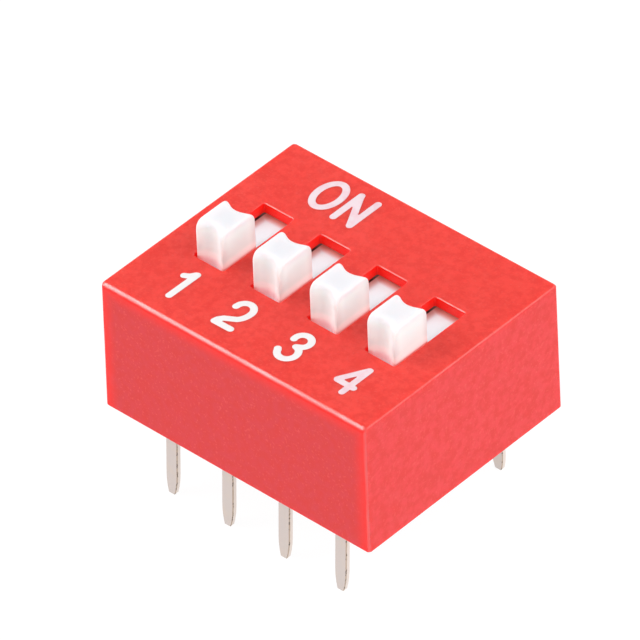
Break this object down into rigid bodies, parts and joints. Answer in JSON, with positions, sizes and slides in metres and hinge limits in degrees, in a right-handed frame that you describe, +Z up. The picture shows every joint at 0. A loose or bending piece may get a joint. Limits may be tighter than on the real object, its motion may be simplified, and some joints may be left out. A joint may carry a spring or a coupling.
{
  "type": "dip switch",
  "caption": "Through-hole slide switch block: red housing with a slotted top, white knobs that slide between OFF and ON, and rows of flat pins that go into a circuit board.",
  "frame": {"origin": "centre of the seating plane, where the underside of the housing meets the circuit board, midway between the two rows of pins and midway along them", "axes": "+X runs along the row of positions, from the first to the last; +Y points to the ON side; +Z points up, out of the slotted top"},
  "size_m": [0.0118, 0.0098, 0.0101],
  "materials": {
    "cover_plastic": "red moulded plastic with a soft sheen",
    "base_plastic": "black glass-filled moulded plastic",
    "actuator_plastic": "white moulded plastic, slightly translucent",
    "contact_metal": "gold-plated spring bronze",
    "terminal_metal": "dull tin plate on brass, with bare sheared edges",
    "print_ink": "white pad-printed ink"
  },
  "bodies": {
    "housing": {"cover": "cover_plastic", "base": "base_plastic", "front_terminal_1": "terminal_metal", "front_terminal_2": "terminal_metal", "front_terminal_3": "terminal_metal", "front_terminal_4": "terminal_metal", "rear_terminal_1": "terminal_metal", "rear_terminal_2": "terminal_metal", "rear_terminal_3": "terminal_metal", "rear_terminal_4": "terminal_metal"},
    "slider_1": {"actuator_1": "actuator_plastic", "moving_contact_1": "contact_metal"},
    "slider_2": {"actuator_2": "actuator_plastic", "moving_contact_2": "contact_metal"},
    "slider_3": {"actuator_3": "actuator_plastic", "moving_contact_3": "contact_metal"},
    "slider_4": {"actuator_4": "actuator_plastic", "moving_contact_4": "contact_metal"}
  },
  "joints": [
    {"name": "switch_1", "type": "slide", "parent": "housing", "child": "slider_1", "axis": [0, 1, 0], "range_m": [0, 0.00168]},
    {"name": "switch_2", "type": "slide", "parent": "housing", "child": "slider_2", "axis": [0, 1, 0], "range_m": [0, 0.00168]},
    {"name": "switch_3", "type": "slide", "parent": "housing", "child": "slider_3", "axis": [0, 1, 0], "range_m": [0, 0.00168]},
    {"name": "switch_4", "type": "slide", "parent": "housing", "child": "slider_4", "axis": [0, 1, 0], "range_m": [0, 0.00168]}
  ]
}
